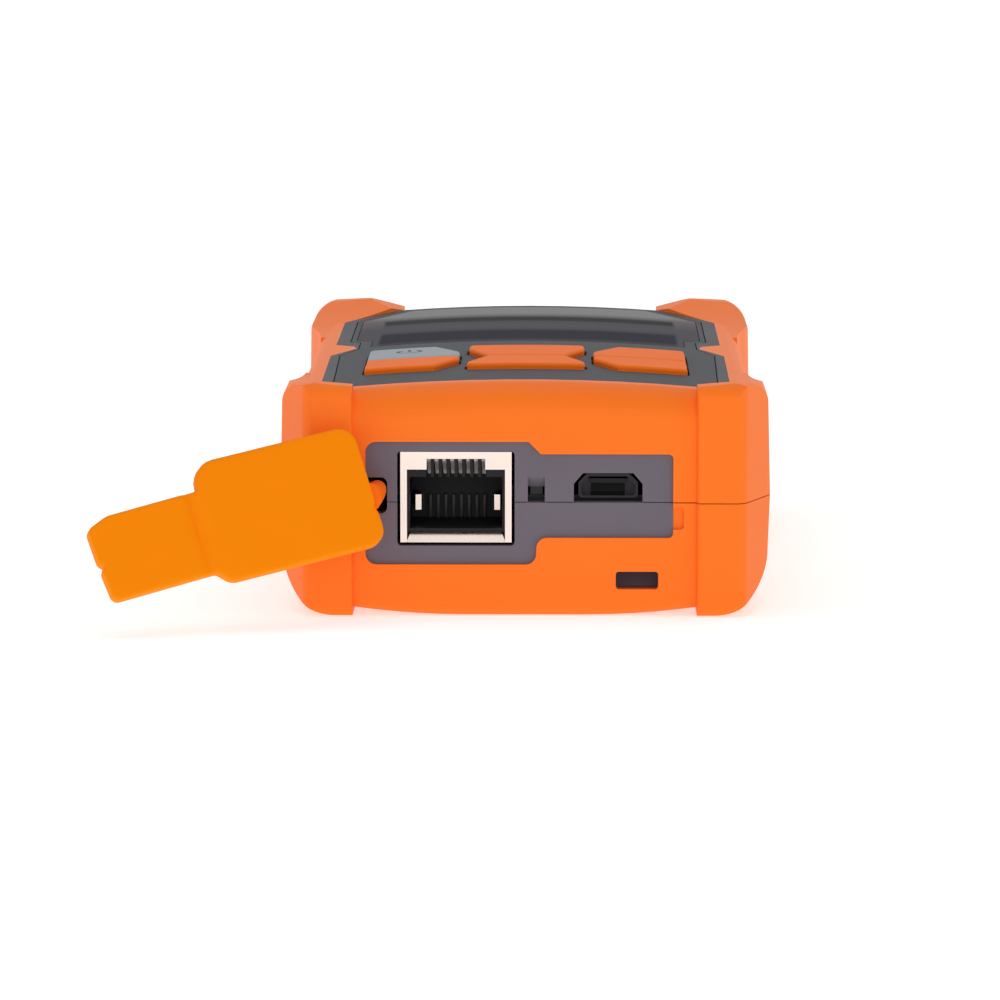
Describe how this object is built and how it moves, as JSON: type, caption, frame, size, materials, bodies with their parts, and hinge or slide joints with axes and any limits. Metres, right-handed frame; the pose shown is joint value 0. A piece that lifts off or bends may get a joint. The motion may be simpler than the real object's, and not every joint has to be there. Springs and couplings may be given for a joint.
{
  "type": "optical power meter",
  "caption": "Pocket optical power meter: soft moulded case with corner bumpers, display, keypad, network test socket and strapped socket cap.",
  "frame": {"origin": "under the middle of the case, in the plane of the flat spine and pads that it lies on", "axes": "+Z out of the display, -Y out of the socket end, +X to the right when the sockets face the reader"},
  "size_m": [0.0877, 0.141, 0.031],
  "materials": {
    "skin": "soft moulded, fine matte grain",
    "shell": "moulded, fine grain",
    "face_plate": "satin printed plate, left bare",
    "window": "clear, smoked border",
    "display": "dark liquid crystal cell",
    "carrier": "white light guide",
    "key_orange": "satin silicone",
    "key_grey": "satin silicone",
    "circuit": "solder mask",
    "mat": "matte silicone",
    "screw": "plated",
    "header": "moulded",
    "battery": "wrapped pouch",
    "foam": "foam tape",
    "shield": "bright tinned sheet",
    "socket": "moulded",
    "contact": "gold plated",
    "lamp": "clear",
    "port_metal": "turned and nickel plated",
    "diode": "gold plated can",
    "lens": "clear",
    "dust_cap": "matte",
    "port_cap": "soft satin"
  },
  "bodies": {
    "case": {"front_grip": "skin", "rear_grip": "skin", "front_housing": "shell", "rear_housing": "shell", "fascia": "face_plate", "display_window": "window", "display_panel": "display", "display_carrier": "carrier", "main_board": "circuit", "port_board": "circuit", "keypad_mat": "mat", "case_screws": "screw", "board_screws": "screw", "board_header": "header", "battery_cell": "battery", "battery_pad": "foam", "network_socket_shield": "shield", "usb_socket_shell": "shield", "network_socket_body": "socket", "usb_socket_tongue": "socket", "network_socket_contacts": "contact", "charge_lamp": "lamp", "torch_lamp": "lamp", "detector_adapter": "port_metal", "laser_port": "port_metal", "laser_module": "port_metal", "detector_diode": "diode", "torch_lens": "lens"},
    "key_power": {"key_power": "key_grey"},
    "key_near_left": {"key_near_left": "key_orange"},
    "key_far_middle": {"key_far_middle": "key_orange"},
    "key_near_middle": {"key_near_middle": "key_orange"},
    "key_far_right": {"key_far_right": "key_orange"},
    "key_near_right": {"key_near_right": "key_orange"},
    "port_cap": {"port_cap": "port_cap"},
    "detector_cap": {"detector_cap": "dust_cap"},
    "laser_cap": {"laser_cap": "dust_cap"}
  },
  "joints": [
    {"name": "key_power_press", "type": "slide", "parent": "case", "child": "key_power", "axis": [0, 0, -1], "range_m": [0, 0.0005], "stiffness_N_per_m": 1000, "springref_m": -0.0002},
    {"name": "key_near_left_press", "type": "slide", "parent": "case", "child": "key_near_left", "axis": [0, 0, -1], "range_m": [0, 0.0005], "stiffness_N_per_m": 1000, "springref_m": -0.0002},
    {"name": "key_far_middle_press", "type": "slide", "parent": "case", "child": "key_far_middle", "axis": [0, 0, -1], "range_m": [0, 0.0005], "stiffness_N_per_m": 1000, "springref_m": -0.0002},
    {"name": "key_near_middle_press", "type": "slide", "parent": "case", "child": "key_near_middle", "axis": [0, 0, -1], "range_m": [0, 0.0005], "stiffness_N_per_m": 1000, "springref_m": -0.0002},
    {"name": "key_far_right_press", "type": "slide", "parent": "case", "child": "key_far_right", "axis": [0, 0, -1], "range_m": [0, 0.0005], "stiffness_N_per_m": 1000, "springref_m": -0.0002},
    {"name": "key_near_right_press", "type": "slide", "parent": "case", "child": "key_near_right", "axis": [0, 0, -1], "range_m": [0, 0.0005], "stiffness_N_per_m": 1000, "springref_m": -0.0002},
    {"name": "cap_swing", "type": "hinge", "parent": "case", "child": "port_cap", "pos_m": [-0.021, -0.056, 0.0152], "axis": [0.1541, -0.9727, 0.1736], "range_deg": [-194.75, 6]},
    {"name": "detector_cap_pull", "type": "slide", "parent": "case", "child": "detector_cap", "axis": [0, 1, 0], "range_m": [0, 0.055]},
    {"name": "laser_cap_pull", "type": "slide", "parent": "case", "child": "laser_cap", "axis": [0, 1, 0], "range_m": [0, 0.055]}
  ]
}
